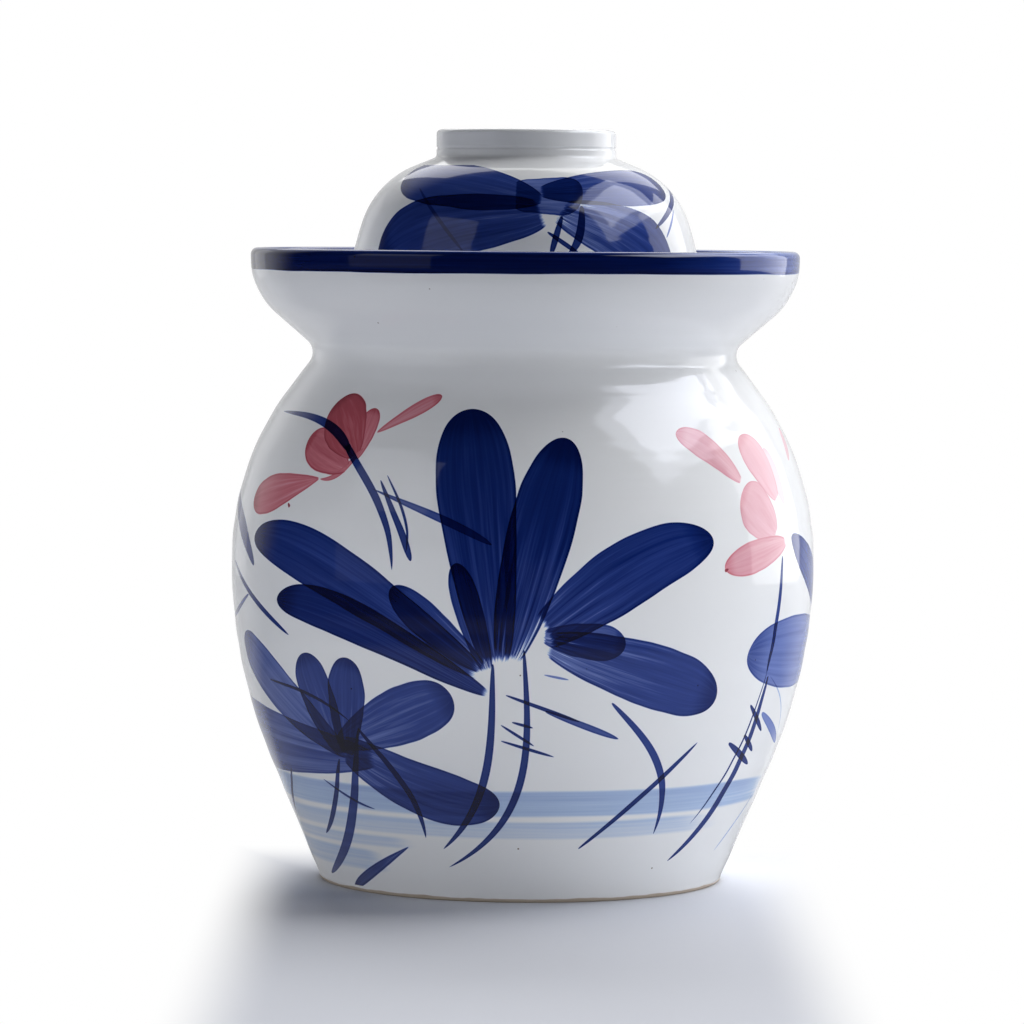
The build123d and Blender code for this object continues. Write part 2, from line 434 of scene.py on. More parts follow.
def seen(skin, x, y):
    """Where the ray through a pixel of the photograph first meets a skin, or passes nearest to it."""
    across, upward = x - skin.shift_pixels - photo_size / 2, photo_size / 2 - y
    aim = camera_turn @ Vector((across * pixel, upward * pixel, -camera_distance))
    first, last, steps = 0.93, 1.0, 90
    best, best_depth = None, None
    for k in range(steps + 1):
        point = camera_place + aim * (first + (last - first) * k / steps)
        depth = radius_at(skin, point.z) - hypot(point.x, point.y)
        if best is None or depth > best_depth:
            best, best_depth = point, depth
        if depth > 0:
            break
    return Place(atan2(best.x, -best.y), radius_at(skin, best.z), best.z)


def at(skin, degrees_round, height):
    """A place by its angle round from the front, to the right, and its height in millimetres."""
    return Place(radians(degrees_round), radius_at(skin, height * mm), height * mm)


def up(skin, place):
    return place.height * skin.rise - place.radius * skin.inward


# Shader nodes


class Wiring:
    """A node tree being wired: the calls add nodes and give back what they put out."""

    def __init__(self, tree):
        self.tree = tree

    def add(self, kind, **settings):
        node = self.tree.nodes.new("ShaderNode" + kind)
        for setting, value in settings.items():
            setattr(node, setting, value)
        return node

    def feed(self, node, values):
        """Gives a node its inputs: constants, or outputs of other nodes."""
        for name, value in values.items():
            if isinstance(value, bpy.types.NodeSocket):
                self.tree.links.new(value, node.inputs[name])
            else:
                node.inputs[name].default_value = value
        return node

    def math(self, operation, *values):
        node = self.add("Math", operation=operation)
        return self.feed(node, dict(enumerate(values))).outputs["Value"]

    def chain(self, operation, values):
        return reduce(lambda so_far, value: self.math(operation, so_far, value), values)

    def times(self, *values):
        return self.chain("MULTIPLY", values)

    def plus(self, *values):
        return self.chain("ADD", values)

    def larger(self, *values):
        return self.chain("MAXIMUM", values)

    def minus(self, whole, part):
        return self.math("SUBTRACT", whole, part)

    def times_plus(self, value, factor, extra):
        return self.math("MULTIPLY_ADD", value, factor, extra)

    def fade(self, value, low, high, start=0.0, end=1.0):
        """A smooth change from start to end while the value goes from low to high."""
        node = self.add("MapRange", interpolation_type="SMOOTHSTEP")
        ends = {"From Min": low, "From Max": high, "To Min": start, "To Max": end}
        return self.feed(node, {"Value": value, **ends}).outputs["Result"]

    def spot(self, x, y, z=0.0):
        return self.feed(self.add("CombineXYZ"), {"X": x, "Y": y, "Z": z}).outputs["Vector"]

    def split(self, vector):
        return self.feed(self.add("SeparateXYZ"), {"Vector": vector}).outputs

    def stretched(self, place, *factors):
        node = self.add("VectorMath", operation="MULTIPLY")
        return self.feed(node, {0: place, 1: factors}).outputs["Vector"]

    def noise(self, place, scale=1.0, detail=2.0, roughness=0.5):
        grain = {"Scale": scale, "Detail": detail, "Roughness": roughness}
        return self.feed(self.add("TexNoise"), {"Vector": place, **grain}).outputs["Fac"]

    def blend(self, share, first, second, mode="MIX"):
        """A Mix node by its colour sockets, which are the seventh and eighth in and the third out."""
        node = self.add("Mix", data_type="RGBA", blend_type=mode)
        return self.feed(node, {0: share, 6: first, 7: second}).outputs[2]

    def ramp(self, amount, stops):
        node = self.feed(self.add("ValToRGB"), {"Fac": amount})
        elements = node.color_ramp.elements
        elements[0].position, elements[0].color = stops[0][0], (*stops[0][1], 1)
        elements[1].position, elements[1].color = stops[-1][0], (*stops[-1][1], 1)
        for position, colour in stops[1:-1]:
            elements.new(position).color = (*colour, 1)
        return node.outputs["Color"]

    def placed(self, group, values):
        """What a node group puts out for these values."""
        return self.feed(self.add("Group", node_tree=group), values).outputs


def open_group(name, inputs, outputs):
    """The wiring of a new node group with float sockets, and what the group is given."""
    group = bpy.data.node_groups.new(name, "ShaderNodeTree")
    for sockets, way in ((inputs, "INPUT"), (outputs, "OUTPUT")):
        for socket in sockets:
            group.interface.new_socket(socket, in_out=way, socket_type="NodeSocketFloat")
    return Wiring(group), group.nodes.new("NodeGroupInput").outputs


def close_group(wire, results):
    """The group that was being wired, with its results joined to its outputs."""
    wire.feed(wire.tree.nodes.new("NodeGroupOutput"), results)
    return wire.tree


def open_material(name):
    """A new material, its wiring and its surface node."""
    paint = bpy.data.materials.new(name)
    paint.use_nodes = True
    return paint, Wiring(paint.node_tree), paint.node_tree.nodes["Principled BSDF"]


def make_chart():
    """A turned skin unrolled: the angle round from the front, the radius and the way up it."""
    wire, given = open_group("turned_chart", ["Rise", "Inward"], ["Around", "Radius", "Up"])
    x, y, z = wire.split(wire.add("TexCoord").outputs["Object"])
    around = wire.math("ARCTAN2", x, wire.times(y, -1.0))
    radius = wire.math("SQRT", wire.times_plus(x, x, wire.times(y, y)))
    rise = wire.times(z, given["Rise"])
    way_up = wire.minus(rise, wire.times(radius, given["Inward"]))
    return close_group(wire, {"Around": around, "Radius": radius, "Up": way_up})


chart_sockets = ["Around", "Radius", "Up"]
line_sockets = ["Base Around", "Base Up", "Slant", "Length", "Half Width", "Bend", "Taper", "Blunt"]

# How a stroke's bend grows towards its tip
bow_start, bow_lean = 0.6, 0.8


def along_stroke(wire, given):
    """A point's share of the stroke's length, how far off its middle line it is, and how
    wide half the stroke is there."""
    turn = wire.minus(given["Around"], given["Base Around"])
    run = wire.times(wire.math("WRAP", turn, pi, -pi), given["Radius"])
    rise = wire.minus(given["Up"], given["Base Up"])
    turned = wire.add("VectorRotate", rotation_type="Z_AXIS", invert=True)
    wire.feed(turned, {"Vector": wire.spot(run, rise), "Angle": given["Slant"]})
    along, off, _ = wire.split(turned.outputs["Vector"])
    share = wire.math("DIVIDE", along, given["Length"])
    held = wire.math("MINIMUM", wire.larger(share, 0.0), 1.0)
    left = wire.minus(1.0, held)
    late = wire.times_plus(held, bow_lean, bow_start)
    bow = wire.times(held, left, 4.0, late)
    across = wire.minus(off, wire.times(bow, given["Bend"]))
    swell = wire.math("POWER", held, given["Taper"])
    close = wire.math("SQRT", wire.minus(1.0, wire.math("POWER", held, given["Blunt"])))
    half_width = wire.times(swell, close, given["Half Width"])
    return share, left, across, half_width


def make_fine_stroke():
    """A line drawn with the tip of the brush, a little darker along its edges."""
    wire, given = open_group("fine_stroke", chart_sockets + line_sockets + ["Ink"], ["Ink"])
    _, _, across, half_width = along_stroke(wire, given)
    inside = wire.minus(half_width, wire.math("ABSOLUTE", across))
    cover = wire.fade(inside, 0.0, 0.28 * mm)
    pooled = wire.fade(inside, 0.9 * mm, 0.1 * mm, 0.85, 1.1)
    return close_group(wire, {"Ink": wire.times(cover, pooled, given["Ink"])})


def make_broad_stroke():
    """One pull of a loaded flat brush: pooled round the edge and the tip, streaked by the
    bristles, dry and frayed where it was lifted at the base."""
    sockets = chart_sockets + line_sockets + ["Ink", "Dry", "Bristles", "Seed"]
    wire, given = open_group("broad_stroke", sockets, ["Ink"])
    share, left, across, half_width = along_stroke(wire, given)
    hand = wire.noise(wire.spot(wire.times(share, 4.0), given["Seed"]), detail=1.0)
    half_width = wire.times(half_width, wire.fade(hand, 0.25, 0.75, 0.97, 1.03))
    lane = wire.math("DIVIDE", across, wire.larger(half_width, 0.5 * mm))
    lanes = wire.spot(wire.times(lane, given["Bristles"]), wire.times(share, 1.3), given["Seed"])
    bristle = wire.noise(lanes, detail=3.0, roughness=0.62)
    inside = wire.minus(half_width, wire.math("ABSOLUTE", across))
    pooled = wire.fade(inside, 1.2 * mm, 0.3 * mm, 0.0, 0.3)
    tip_pool = wire.fade(share, 0.84, 0.98, 0.0, 0.3)
    worn = wire.times(wire.math("POWER", left, 1.7), given["Dry"])
    streak = wire.times(wire.minus(bristle, 0.5), wire.times_plus(worn, 2.0, 0.5))
    load = wire.minus(wire.plus(streak, 0.86), wire.times(worn, 0.42))
    load = wire.plus(load, pooled, tip_pool)
    gaps = wire.minus(bristle, wire.times(worn, 0.62))
    cover = wire.times(wire.fade(inside, 0.0, 0.35 * mm), wire.fade(gaps, -0.06, 0.07))
    lift = wire.times_plus(wire.times(given["Dry"], bristle), -0.13, share)
    cover = wire.times(cover, wire.fade(lift, 0.0, 0.025))
    return close_group(wire, {"Ink": wire.times(wire.larger(load, 0.0), cover, given["Ink"])})


def make_soft_wash():
    """A thin wash: soft at its edges and ends, streaked lengthwise, a little darker on top."""
    wire, given = open_group("soft_wash", chart_sockets + line_sockets + ["Ink", "Seed"], ["Ink"])
    share, left, across, half_width = along_stroke(wire, given)
    run = wire.times(share, wire.times(given["Length"], 12.0))
    lanes = wire.spot(run, wire.times(across, 900.0), given["Seed"])
    streak = wire.noise(lanes, detail=3.0, roughness=0.6)
    drift = wire.noise(wire.spot(run, given["Seed"]), detail=1.0)
    off = wire.times_plus(wire.minus(drift, 0.5), 1.6 * mm, across)
    inside = wire.minus(half_width, wire.math("ABSOLUTE", off))
    cover = wire.times(wire.fade(inside, -0.3 * mm, 1.3 * mm), wire.fade(share, 0.0, 0.12))
    cover = wire.times(cover, wire.fade(left, 0.0, 0.12))
    load = wire.times_plus(wire.minus(streak, 0.5), 1.3, 0.85)
    load = wire.plus(load, wire.fade(off, -1.0 * mm, 4.0 * mm, 0.0, 0.35))
    return close_group(wire, {"Ink": wire.times(wire.larger(load, 0.0), cover, given["Ink"])})


def make_rim_band():
    """The cobalt band laid on the rim as it turned: dark in the middle, paler on the top edge,
    where the paint runs thin and a highlight is painted in, and paler on the right, a painted highlight from
    the lamps on that side."""
    wire, given = open_group("rim_band", ["Radius", "Up"], ["Ink"])
    place = wire.add("TexCoord").outputs["Object"]
    wander = wire.noise(wire.stretched(place, 26.0, 26.0, 26.0), detail=1.0)
    edge = wire.times_plus(wander, 1.3 * mm, band_foot - 0.65 * mm)
    above = wire.minus(given["Up"], edge)
    cover = wire.fade(above, 0.0, 0.35 * mm)
    pooled = wire.fade(above, 1.6 * mm, 0.2 * mm, 0.0, 0.3)
    # Painted highlight along the top edge: less paint there, where it also runs thin over the lip
    thin_top_and_painted_highlight = wire.fade(given["Up"], rim_height - 1.6 * mm, rim_height - 0.2 * mm, 0.0, 0.5)
    pulled = wire.noise(wire.stretched(place, 14.0, 14.0, 900.0), detail=3.0, roughness=0.6)
    load = wire.plus(wire.times_plus(pulled, 0.9, 0.72), pooled)
    # Painted highlight: less paint towards the right side, paler where the lamps on the right shine on it
    painted_right_highlight = wire.fade(wire.split(place)["X"], 0.4 * rim_radius, 0.95 * rim_radius, 1.0, 0.42)
    load = wire.times(wire.larger(wire.minus(load, thin_top_and_painted_highlight), 0.0), painted_right_highlight)
    within = wire.fade(given["Radius"], rim_inside - 0.5 * mm, rim_inside + 0.3 * mm)
    return close_group(wire, {"Ink": wire.times(load, cover, within)})


def make_glaze_skin():
    """The fired glaze: faint throwing rings, a slightly rippled gloss and rare iron specks."""
    wire, _ = open_group("glaze_skin", [], ["Height", "Speck", "Gloss"])
    place = wire.add("TexCoord").outputs["Object"]
    rings = wire.noise(wire.stretched(place, 4.0, 4.0, 120.0))
    ripple = wire.noise(place, scale=75.0)
    fine_rings = wire.noise(wire.stretched(place, 11.0, 11.0, 200.0), detail=0.5)
    relief = wire.times_plus(rings, 0.06 * mm, wire.times(ripple, 0.03 * mm))
    ring_depth = wire.fade(wire.split(place)["Z"], 0.135, 0.165, 0.03 * mm, 0.26 * mm)
    relief = wire.times_plus(fine_rings, ring_depth, relief)
    cells = wire.feed(wire.add("TexVoronoi"), {"Vector": place, "Scale": 95.0}).outputs
    rare = wire.fade(cells["Color"], 0.6, 0.62)
    speck = wire.times(wire.fade(cells["Distance"], 0.045, 0.02), rare)
    pit = wire.times_plus(speck, -0.02 * mm, relief)
    gloss = wire.noise(place, scale=30.0)
    return close_group(wire, {"Height": pit, "Speck": speck, "Gloss": gloss})


band_foot = 235.6 * mm
chart = make_chart()
fine_stroke = make_fine_stroke()
broad_stroke = make_broad_stroke()
soft_wash = make_soft_wash()
rim_band = make_rim_band()
glaze_skin = make_glaze_skin()


# Brush strokes

# A stroke as it lies on an unrolled skin, ready for its node group
Stroke = namedtuple("Stroke", "group colour values reach lowest highest")
spare = 3 * mm


def stroke_reach(base, length, slant, bend, width, skin, tip):
    """The angles round the skin between which a stroke lies, with something to spare."""
    angles = []
    for k in range(9):
        share = k / 8
        bow = share * (1 - share) * 4 * (bow_start + bow_lean * share)
        along, across = share * length, bow * bend
        height = base.height + (tip.height - base.height) * share
        radius = radius_at(skin, height) - spare
        for side in (-1, 1):
            off = across + side * (width / 2 + spare)
            angles.append(base.around + (along * cos(slant) - off * sin(slant)) / radius)
    return min(angles), max(angles)


def pull(
    group, base, tip, width, ink, bend, taper, blunt, colour="cobalt", back=False, skin=pot_paper, **brush
):
    """One stroke from its base to its tip, given as photo pixels or, with back, as degrees round
    from the front and millimetres up. Its width and bend are in millimetres."""
    find = at if back else seen
    base, tip = find(skin, *base), find(skin, *tip)
    run = (tip.around - base.around) * tip.radius
    rise = up(skin, tip) - up(skin, base)
    length, slant = hypot(run, rise), atan2(rise, run)
    widest = (2 * taper / (2 * taper + blunt)) ** (taper / blunt) * (blunt / (2 * taper + blunt)) ** 0.5
    values = {"Base Around": base.around, "Base Up": up(skin, base), "Slant": slant, "Length": length}
    values |= {"Half Width": width * mm / 2 / widest, "Bend": bend * mm}
    values |= {"Taper": taper, "Blunt": blunt, "Ink": ink, **brush}
    if group != fine_stroke:
        values["Seed"] = len(skin.strokes) * skin.seed_step
    reach = stroke_reach(base, length, slant, bend * mm, width * mm, skin, tip)
    aside = (width / 2 + abs(bend)) * mm + spare
    lowest, highest = min(base.height, tip.height) - aside, max(base.height, tip.height) + aside
    skin.strokes.append(Stroke(group, colour, values, reach, lowest, highest))


def leaf(base, tip, width, ink=1.0, dry=0.4, bend=0, taper=0.4, blunt=4, bristles=7.0, **more):
    """A broad stroke in cobalt."""
    pull(broad_stroke, base, tip, width, ink, bend, taper, blunt, Dry=dry, Bristles=bristles, **more)


def petal(base, tip, width, ink, dry=0.3, taper=0.5, blunt=3, **more):
    """A broad stroke in rose, with a softer brush."""
    leaf(base, tip, width, ink, dry, taper=taper, blunt=blunt, bristles=4.0, colour="rose", **more)


def line(base, tip, width, bend=0, taper=0.3, blunt=3, ink=0.8, **more):
    """A fine stroke, in cobalt unless told otherwise."""
    pull(fine_stroke, base, tip, width, ink, bend, taper, blunt, **more)


def wash(height, width, start, end, ink):
    """A pale band left on the wheel: its height and width in millimetres, from angle to angle."""
    pull(soft_wash, (start, height), (end, height), width, ink, 0, 0.02, 40, back=True)


lid_leaf = partial(leaf, skin=lid_paper)
lid_line = partial(line, skin=lid_paper)

# The pale water lines low on the pot
wash(height=38.8, width=10.6, start=-104, end=86, ink=0.13)
wash(height=28.6, width=7.4, start=-88, end=58, ink=0.075)
wash(height=21.6, width=5.0, start=-100, end=-26, ink=0.07)
wash(height=13.6, width=9.0, start=-100, end=-36, ink=0.075)
wash(height=37.0, width=10.0, start=86, end=258, ink=0.12)
wash(height=26.5, width=6.0, start=110, end=240, ink=0.08)

# The tall cluster in the middle of the front
leaf(base=(497, 671), tip=(470, 409), width=29.5, dry=0.55, blunt=6)
leaf(base=(489, 676), tip=(456, 563), width=11, ink=0.75, dry=0.8)
leaf(base=(505, 669), tip=(566, 438), width=25, ink=1.05, dry=0.75, blunt=3.6)
leaf(base=(538, 636), tip=(711, 538), width=25, ink=0.9, dry=0.6, bend=5.4, taper=0.27, blunt=3)
leaf(base=(541, 641), tip=(715, 697), width=24.5, ink=0.75, dry=0.7)
leaf(base=(541, 636), tip=(625, 645), width=14, ink=0.6, dry=0.5)
leaf(base=(487, 677), tip=(256, 535), width=21.5, ink=0.85, dry=0.5, bend=-9.5, taper=0.45)
leaf(base=(492, 696), tip=(277, 598), width=16.5, dry=0.3, bend=-7, taper=0.55)
leaf(base=(486, 672), tip=(391, 588), width=13.5, ink=0.75, dry=0.6, taper=0.45)
line(base=(493, 664), tip=(444, 849), width=3.2, bend=8)
line(base=(524, 650), tip=(450, 867), width=3.0, bend=14.4)
line(base=(612, 703), tip=(652, 834), width=3.2, bend=8.9, ink=0.7)
line(base=(578, 849), tip=(696, 742), width=2.2)
line(base=(506, 695), tip=(580, 722), width=1.7)
line(base=(545, 711), tip=(618, 739), width=2.7, ink=0.6)
line(base=(512, 722), tip=(533, 728), width=1.3)
line(base=(501, 725), tip=(534, 746), width=1.3)
line(base=(501, 741), tip=(554, 757), width=1.4)
line(base=(544, 675), tip=(569, 680), width=1.1, ink=0.35)

# The paler cluster low on the left
leaf(base=(352, 757), tip=(245, 637), width=20.5, ink=0.56, dry=0.3, bend=-1, taper=0.5)
leaf(base=(345, 757), tip=(304, 653), width=19, ink=0.72, taper=0.5)
leaf(base=(349, 757), tip=(348, 658), width=17.5, ink=0.75, taper=0.45)
leaf(base=(338, 745), tip=(452, 695), width=21, ink=0.68, taper=0.5, blunt=5)
leaf(base=(341, 746), tip=(500, 805), width=22, ink=0.75, dry=0.5, bend=-4, taper=0.28)
leaf(base=(-31, 54), tip=(-112, 60), width=28, ink=0.64, taper=0.5, back=True)
line(base=(359, 728), tip=(332, 873), width=4.6, bend=8, taper=0.5, ink=0.7)
line(base=(340, 759), tip=(327, 833), width=2.6, bend=2.6)
line(base=(358, 728), tip=(426, 838), width=2.8, bend=5)
line(base=(271, 679), tip=(352, 722), width=1.6, bend=3.5)
line(base=(324, 779), tip=(377, 809), width=1.3, bend=-1, ink=0.6)
line(base=(292, 768), tip=(302, 835), width=2.2, bend=-1.2)
line(base=(241, 650), tip=(255, 719), width=2.4, bend=-1)
leaf(base=(412, 845), tip=(356, 887), width=4.4, ink=0.75, dry=0.6, taper=0.8, blunt=3)

# The rose flower high on the left, with the fine lines over and beside it
petal(base=(357, 456), tip=(340, 400), width=20, ink=1.2, dry=0.2)
petal(base=(357, 460), tip=(377, 408), width=9.5, ink=0.85, dry=0.2)
petal(base=(377, 433), tip=(443, 396), width=5.8, ink=0.75, dry=0.2, taper=0.6, blunt=5)
petal(base=(348, 469), tip=(311, 438), width=15, ink=0.95, dry=0.2)
petal(base=(321, 478), tip=(254, 501), width=14.5, ink=0.85, dry=0.2, taper=0.8)
line(base=(365, 448), tip=(320, 479), width=2.4, bend=3, colour="rose")
line(base=(289, 503), tip=(290, 507), width=1.4, blunt=8, ink=1.6, colour="rose")
line(base=(284, 411), tip=(352, 452), width=3.4, bend=5.2, taper=0.6, blunt=12)
line(base=(347, 445), tip=(393, 570), width=3.2, bend=6, taper=0.05)
line(base=(381, 480), tip=(412, 561), width=3.0, bend=1, taper=0.4, blunt=9)
line(base=(389, 475), tip=(406, 553), width=1.3, bend=3.2)
line(base=(372, 488), tip=(492, 545), width=3.2, bend=1.3, ink=0.6, taper=0.7)
line(base=(241, 488), tip=(255, 565), width=7, bend=3)
line(base=(236, 560), tip=(290, 635), width=2.6)
line(base=(249, 594), tip=(235, 615), width=2.2, bend=1.5, ink=0.6)

# The rose flower high on the right, with the leaves that run on round the side
petal(base=(742, 482), tip=(674, 433), width=11.5, ink=0.5, bend=-2)
petal(base=(777, 500), tip=(737, 437), width=17, ink=0.42, bend=-1)
petal(base=(784, 505), tip=(763, 448), width=8, ink=0.25)
petal(base=(775, 535), tip=(741, 493), width=22, ink=0.45)
petal(base=(786, 541), tip=(724, 568), width=12.5, ink=0.55, blunt=2)
petal(base=(788, 461), tip=(779, 428), width=5, ink=0.3)
line(base=(727, 569), tip=(724, 571), width=1.5, blunt=8, ink=1.5, colour="rose")
leaf(base=(112, 92), tip=(65, 136), width=17, ink=0.6, dry=0.6, bend=2, back=True)
line(base=(782, 556), tip=(766, 673), width=2.8, ink=0.7)
leaf(base=(109, 89), tip=(50, 94), width=28, ink=0.45, dry=0.7, back=True)
line(base=(768, 676), tip=(666, 861), width=3.8, bend=8)
line(base=(767, 672), tip=(689, 824), width=1.3, bend=3.5)
line(base=(769, 676), tip=(776, 736), width=1.0, bend=4, ink=0.15)
line(base=(749, 705), tip=(761, 731), width=2.4)
line(base=(728, 743), tip=(747, 764), width=2.8)
line(base=(744, 735), tip=(752, 751), width=2.2)
line(base=(761, 713), tip=(775, 742), width=4, ink=0.35)
line(base=(753, 793), tip=(713, 851), width=1.3, ink=0.15)

# The far side carries the same water plants in another arrangement
leaf(base=(166, 84), tip=(176, 178), width=26, back=True)
leaf(base=(170, 84), tip=(206, 160), width=25, ink=0.95, dry=0.6, back=True)
leaf(base=(160, 86), tip=(128, 150), width=24, ink=0.8, dry=0.5, bend=3, back=True)
leaf(base=(172, 80), tip=(222, 108), width=23, ink=0.65, dry=0.7, bend=4, back=True)
leaf(base=(158, 80), tip=(112, 88), width=20, ink=0.6, dry=0.6, bend=-4, back=True)
line(base=(166, 86), tip=(178, 14), width=2.8, bend=-7, back=True)
line(base=(160, 84), tip=(150, 10), width=2.6, bend=5, back=True)
line(base=(182, 58), tip=(196, 44), width=1.6, back=True)
line(base=(172, 50), tip=(188, 42), width=1.4, back=True)
leaf(base=(243, 58), tip=(228, 96), width=16, ink=0.6, back=True)
leaf(base=(246, 57), tip=(262, 92), width=17, ink=0.55, back=True)
leaf(base=(244, 52), tip=(214, 42), width=16, ink=0.6, dry=0.5, bend=3, back=True)
line(base=(245, 54), tip=(238, 6), width=3.6, bend=-4, back=True)
line(base=(247, 52), tip=(256, 16), width=1.6, bend=3, back=True)
line(base=(113, 86), tip=(134, 12), width=2.8, bend=-8, back=True)
line(base=(110, 84), tip=(104, 16), width=2.2, bend=4, back=True)
petal(base=(232, 160), tip=(238, 184), width=17, ink=0.8, dry=0.25, back=True)
petal(base=(234, 158), tip=(250, 176), width=12, ink=0.6, dry=0.25, back=True)
petal(base=(229, 158), tip=(218, 172), width=11, ink=0.65, dry=0.25, back=True)
petal(base=(236, 153), tip=(256, 150), width=11, ink=0.55, dry=0.25, back=True)
line(base=(246, 184), tip=(228, 120), width=3.6, bend=10, back=True)
line(base=(240, 140), tip=(232, 112), width=2.4, back=True)

# Leaves spread from the middle of the lid's front, and a smaller spray behind
lid_leaf(base=(548, 200), tip=(407, 181), width=31, ink=0.72, dry=0.2, bend=-5, taper=0.6, blunt=2.2)
lid_leaf(base=(551, 212), tip=(382, 262), width=28, ink=0.85, bend=-5, taper=0.3)
lid_leaf(base=(540, 192), tip=(667, 191), width=23, ink=0.72, dry=0.35, bend=3.6, taper=0.5, blunt=2.4)
lid_leaf(base=(556, 208), tip=(676, 290), width=27, ink=0.75, dry=0.8, bend=5)
lid_leaf(base=(518, 194), tip=(586, 194), width=21, ink=0.55, dry=0.3, taper=0.12, blunt=8)
lid_line(base=(566, 216), tip=(554, 256), width=2.6)
lid_line(base=(585, 206), tip=(572, 256), width=3.4, bend=2)
lid_line(base=(551, 232), tip=(584, 255), width=2.0)
lid_line(base=(424, 188), tip=(470, 254), width=1.6, ink=0.35)
lid_line(base=(677, 187), tip=(659, 229), width=2.8, taper=0.1, blunt=2)
lid_line(base=(677, 210), tip=(669, 238), width=1.3, ink=0.4)
lid_leaf(base=(196, 252), tip=(150, 246), width=18, ink=0.8, dry=0.5, bend=-4, back=True)
lid_leaf(base=(200, 256), tip=(246, 258), width=17, ink=0.7, dry=0.7, bend=4, back=True)
lid_leaf(base=(198, 246), tip=(232, 224), width=17, ink=0.6, dry=0.6, bend=3, back=True)
lid_line(base=(197, 250), tip=(186, 214), width=2.8, bend=2, back=True)
lid_line(base=(200, 250), tip=(206, 214), width=2.0, back=True)


# Materials

glaze_white = (0.82, 0.835, 0.855, 1)
iron_brown = (0.16, 0.11, 0.09, 1)
bare_clay = (0.47, 0.40, 0.33, 1)
glaze_roughness = (0.045, 0.085)
clay_roughness = 0.75

# What is left of white light under more and more cobalt, and under more and more rose
full_load = 2.0
cobalt_stops = [
    (0.0, (1.0, 1.0, 1.0)),
    (0.05, (0.52, 0.66, 0.90)),
    (0.15, (0.20, 0.275, 0.64)),
    (0.28, (0.031, 0.064, 0.29)),
    (0.42, (0.006, 0.022, 0.155)),
    (0.55, (0.0015, 0.009, 0.085)),
    (0.8, (0.0006, 0.0020, 0.032)),
    (1.0, (0.0004, 0.0012, 0.018)),
]
rose_stops = [
    (0.0, (1.0, 1.0, 1.0)),
    (0.15, (0.98, 0.60, 0.67)),
    (0.35, (0.72, 0.22, 0.27)),
    (0.5, (0.50, 0.10, 0.13)),
    (1.0, (0.12, 0.015, 0.03)),
]


def poured(wire, strokes, place, colour):
    """The ink that all the strokes of one colour leave at a point, or nothing."""
    total = None
    lay_over = wire.larger if colour == "rose" else wire.plus
    for stroke in strokes:
        if stroke.colour == colour:
            ink = wire.placed(stroke.group, place | stroke.values)["Ink"]
            total = lay_over(total, ink) if total else ink
    return total


def glazed(name, skin, strokes=(), banded=False, footed=False):
    """White glaze over whatever the brush left on this part of the skin."""
    paint, wire, surface = open_material(name)
    place = dict(wire.placed(chart, {"Rise": skin.rise, "Inward": skin.inward}).items())
    cobalt, rose = (poured(wire, strokes, place, colour) for colour in ("cobalt", "rose"))
    if banded:
        cobalt = wire.placed(rim_band, {"Radius": place["Radius"], "Up": place["Up"]})["Ink"]
    fired = wire.placed(glaze_skin, {})
    colour = wire.blend(fired["Speck"], glaze_white, iron_brown)
    for ink, stops in ((cobalt, cobalt_stops), (rose, rose_stops)):
        if ink is not None:
            tint = wire.ramp(wire.math("DIVIDE", ink, full_load), stops)
            colour = wire.blend(1.0, colour, tint, "MULTIPLY")
    rough = wire.fade(fired["Gloss"], 0.3, 0.7, *glaze_roughness)
    if footed:
        clay = bare_foot(wire, place)
        colour = wire.blend(clay, colour, bare_clay)
        rough = wire.times_plus(clay, clay_roughness, rough)
    bump = wire.feed(wire.add("Bump"), {"Distance": 1.0, "Height": fired["Height"]})
    wire.feed(surface, {"Base Color": colour, "Roughness": rough, "Normal": bump.outputs["Normal"]})
    return paint


def bare_foot(wire, place):
    """Where the glaze was wiped off: the standing ring and a thin wandering line above it."""
    wander = wire.noise(wire.spot(wire.times(place["Around"], 5.0), 0.0))
    edge = wire.times_plus(wander, 1.6 * mm, 0.5 * mm)
    return wire.fade(wire.minus(place["Up"], edge), 0.3 * mm, -0.1 * mm)


# Where the upper patches of the pot's paint begin, and how far up its foot may be bare
upper_patches = 88 * mm
bare_height = 2.6 * mm


def patch_strokes(strokes, sector, sectors, low, high):
    """The strokes that reach into one patch of the skin: a sector of it, between two heights."""
    start = -pi + 2 * pi * sector / sectors
    end = start + 2 * pi / sectors
    turns = (-2 * pi, 0, 2 * pi)
    near = [s for s in strokes if s.lowest < high and s.highest > low]
    return [s for s in near if any(s.reach[0] + t < end and s.reach[1] + t > start for t in turns)]


def painted_patches(piece, name, skin, sectors, heights):
    """One material a patch, each with only the strokes that cross it, as slots in order."""
    for row, (low, high) in enumerate(zip(heights, heights[1:])):
        for sector in range(sectors):
            crossing = patch_strokes(skin.strokes, sector, sectors, low, high)
            piece.data.materials.append(glazed(f"{name}_{row}_{sector}", skin, crossing))


def patch_of(middle, sectors, heights):
    row = bisect_left(heights[1:-1], middle.z)
    return row * sectors + int((atan2(middle.x, -middle.y) + pi) / (2 * pi) * sectors) % sectors


def dress_pot(piece):
    sectors = 24
    heights = (0, upper_patches, neck_height)
    painted_patches(piece, "painted_body", pot_paper, sectors, heights)
    piece.data.materials.append(glazed("banded_collar", pot_paper, banded=True))
    piece.data.materials.append(glazed("inside_glaze", pot_paper))
    piece.data.materials.append(glazed("foot_glaze", pot_paper, footed=True))
    collar_slot, inside_slot, foot_slot = (len(piece.data.materials) - k for k in (3, 2, 1))
    for face in piece.data.polygons:
        middle = face.center
        radius = hypot(middle.x, middle.y)
        outside = radius > radius_at(pot_paper, middle.z) - body_wall / 2
        on_rim = middle.z > band_foot and radius > rim_inside - 1 * mm
        if middle.z < foot_recess_depth and (middle.z < bare_height or not outside):
            face.material_index = foot_slot
        elif on_rim or (outside and middle.z > neck_height):
            face.material_index = collar_slot
        elif outside:
            face.material_index = patch_of(middle, sectors, heights)
        else:
            face.material_index = inside_slot


